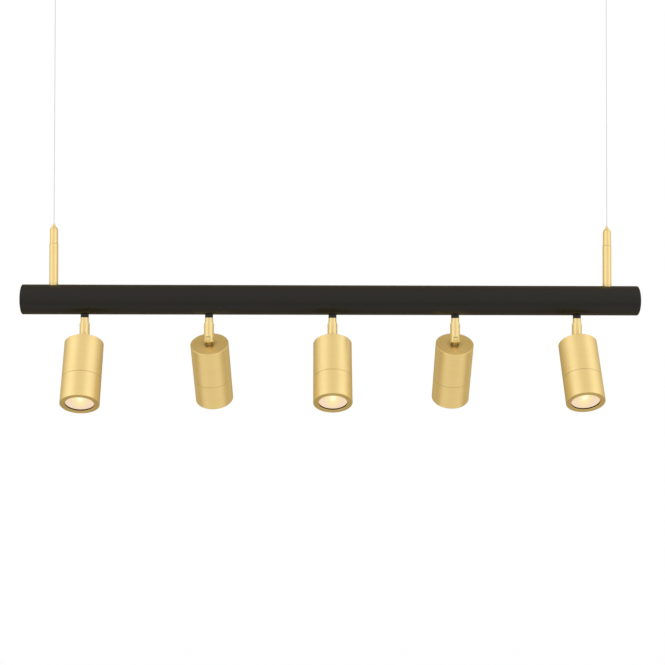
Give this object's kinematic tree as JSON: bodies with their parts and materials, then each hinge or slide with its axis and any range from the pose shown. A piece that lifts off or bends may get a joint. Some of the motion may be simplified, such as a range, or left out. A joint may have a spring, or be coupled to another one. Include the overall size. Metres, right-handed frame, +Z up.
{
  "type": "linear pendant light",
  "caption": "Round level bar hung on two thin wires, with turned cylinder spotlights under it that swivel and tilt, aimed alternately forwards and backwards.",
  "frame": {"origin": "ceiling plane, midway between the two ceiling fixing screws", "axes": "+X along the bar to the viewer's right, +Y away from the viewer, +Z up into the ceiling"},
  "size_m": [1, 0.185, 0.7113],
  "materials": {
    "black_satin_paint": "satin black powder coat",
    "satin_brass": "satin, finely brushed round the turned surfaces, lacquered",
    "zinc_plated_steel": "zinc plated",
    "wire_rope_steel": "fine stranded wire, drawn bright",
    "hardened_steel": "blackened",
    "spring_steel": "bright",
    "white_ceramic": "matt glazed",
    "lit_lamp": "moulded body with a clear front, lit warm white",
    "black_rubber": "matt",
    "natural_polyamide": "moulded"
  },
  "bodies": {
    "suspension": {"ceiling_base_left": "zinc_plated_steel", "ceiling_base_right": "zinc_plated_steel", "ceiling_cup_left": "satin_brass", "ceiling_cup_right": "satin_brass", "wire_left": "wire_rope_steel", "wire_right": "wire_rope_steel", "wire_stops": "zinc_plated_steel"},
    "bar": {"bar_tube": "black_satin_paint", "end_caps": "black_satin_paint", "head_collars": "black_satin_paint", "swivel_nipples": "zinc_plated_steel", "saddle_washers": "zinc_plated_steel", "lock_nuts": "zinc_plated_steel", "stem_left": "satin_brass", "stem_right": "satin_brass", "gripper_left": "satin_brass", "gripper_right": "satin_brass", "gripper_spring_left": "spring_steel", "gripper_spring_right": "spring_steel", "supply_grommet": "black_rubber", "terminal_block": "natural_polyamide"},
    "release_left": {"plunger_left": "satin_brass", "grip_jaws_left": "hardened_steel"},
    "release_right": {"plunger_right": "satin_brass", "grip_jaws_right": "hardened_steel"},
    "swivel_1": {"fork_1": "satin_brass", "pivot_screws_1": "hardened_steel"},
    "spotlight_1": {"tongue_1": "satin_brass", "housing_1": "satin_brass", "lampholder_1": "white_ceramic", "lamp_1": "lit_lamp"},
    "front_1": {"sleeve_1": "satin_brass"},
    "swivel_2": {"fork_2": "satin_brass", "pivot_screws_2": "hardened_steel"},
    "spotlight_2": {"tongue_2": "satin_brass", "housing_2": "satin_brass", "lampholder_2": "white_ceramic", "lamp_2": "lit_lamp"},
    "front_2": {"sleeve_2": "satin_brass"},
    "swivel_3": {"fork_3": "satin_brass", "pivot_screws_3": "hardened_steel"},
    "spotlight_3": {"tongue_3": "satin_brass", "housing_3": "satin_brass", "lampholder_3": "white_ceramic", "lamp_3": "lit_lamp"},
    "front_3": {"sleeve_3": "satin_brass"},
    "swivel_4": {"fork_4": "satin_brass", "pivot_screws_4": "hardened_steel"},
    "spotlight_4": {"tongue_4": "satin_brass", "housing_4": "satin_brass", "lampholder_4": "white_ceramic", "lamp_4": "lit_lamp"},
    "front_4": {"sleeve_4": "satin_brass"},
    "swivel_5": {"fork_5": "satin_brass", "pivot_screws_5": "hardened_steel"},
    "spotlight_5": {"tongue_5": "satin_brass", "housing_5": "satin_brass", "lampholder_5": "white_ceramic", "lamp_5": "lit_lamp"},
    "front_5": {"sleeve_5": "satin_brass"}
  },
  "joints": [
    {"name": "height_adjust", "type": "slide", "parent": "suspension", "child": "bar", "axis": [0, 0, 1], "range_m": [-0.05, 0.05]},
    {"name": "release_plunger_left", "type": "slide", "parent": "bar", "child": "release_left", "axis": [0, 0, -1], "range_m": [0, 0.002], "stiffness_N_per_m": 400, "springref_m": -0.001, "deforming": ["gripper_spring_left"]},
    {"name": "release_plunger_right", "type": "slide", "parent": "bar", "child": "release_right", "axis": [0, 0, -1], "range_m": [0, 0.002], "stiffness_N_per_m": 400, "springref_m": -0.001, "deforming": ["gripper_spring_right"]},
    {"name": "turn_1", "type": "hinge", "parent": "bar", "child": "swivel_1", "pos_m": [-0.4, 0, -0.5933], "axis": [0, 0, 1], "range_deg": [-175, 175]},
    {"name": "tilt_1", "type": "hinge", "parent": "swivel_1", "child": "spotlight_1", "pos_m": [-0.4, 0, -0.5933], "axis": [-0.9992, -0.0401, 0], "range_deg": [-121.3, 58.7]},
    {"name": "front_off_1", "type": "slide", "parent": "spotlight_1", "child": "front_1", "axis": [0.0208, -0.5191, -0.8545], "range_m": [0, 0.045]},
    {"name": "turn_2", "type": "hinge", "parent": "bar", "child": "swivel_2", "pos_m": [-0.2, 0, -0.5933], "axis": [0, 0, 1], "range_deg": [-175, 175]},
    {"name": "tilt_2", "type": "hinge", "parent": "swivel_2", "child": "spotlight_2", "pos_m": [-0.2, 0, -0.5933], "axis": [0.9963, -0.0854, 0], "range_deg": [-123.8, 56.2]},
    {"name": "front_off_2", "type": "slide", "parent": "spotlight_2", "child": "front_2", "axis": [0.0475, 0.5543, -0.831], "range_m": [0, 0.045]},
    {"name": "turn_3", "type": "hinge", "parent": "bar", "child": "swivel_3", "pos_m": [0, 0, -0.5933], "axis": [0, 0, 1], "range_deg": [-175, 175]},
    {"name": "tilt_3", "type": "hinge", "parent": "swivel_3", "child": "spotlight_3", "pos_m": [0, 0, -0.5933], "axis": [-0.9997, 0.0227, 0], "range_deg": [-123.1, 56.9]},
    {"name": "front_off_3", "type": "slide", "parent": "spotlight_3", "child": "front_3", "axis": [-0.0124, -0.546, -0.8377], "range_m": [0, 0.045]},
    {"name": "turn_4", "type": "hinge", "parent": "bar", "child": "swivel_4", "pos_m": [0.2, 0, -0.5933], "axis": [0, 0, 1], "range_deg": [-175, 175]},
    {"name": "tilt_4", "type": "hinge", "parent": "swivel_4", "child": "spotlight_4", "pos_m": [0.2, 0, -0.5933], "axis": [1, -0.0087, 0], "range_deg": [-124.6, 55.4]},
    {"name": "front_off_4", "type": "slide", "parent": "spotlight_4", "child": "front_4", "axis": [0.005, 0.5678, -0.8231], "range_m": [0, 0.045]},
    {"name": "turn_5", "type": "hinge", "parent": "bar", "child": "swivel_5", "pos_m": [0.4, 0, -0.5933], "axis": [0, 0, 1], "range_deg": [-175, 175]},
    {"name": "tilt_5", "type": "hinge", "parent": "swivel_5", "child": "spotlight_5", "pos_m": [0.4, 0, -0.5933], "axis": [-0.9998, 0.0192, 0], "range_deg": [-123.8, 56.2]},
    {"name": "front_off_5", "type": "slide", "parent": "spotlight_5", "child": "front_5", "axis": [-0.0107, -0.5562, -0.831], "range_m": [0, 0.045]}
  ]
}
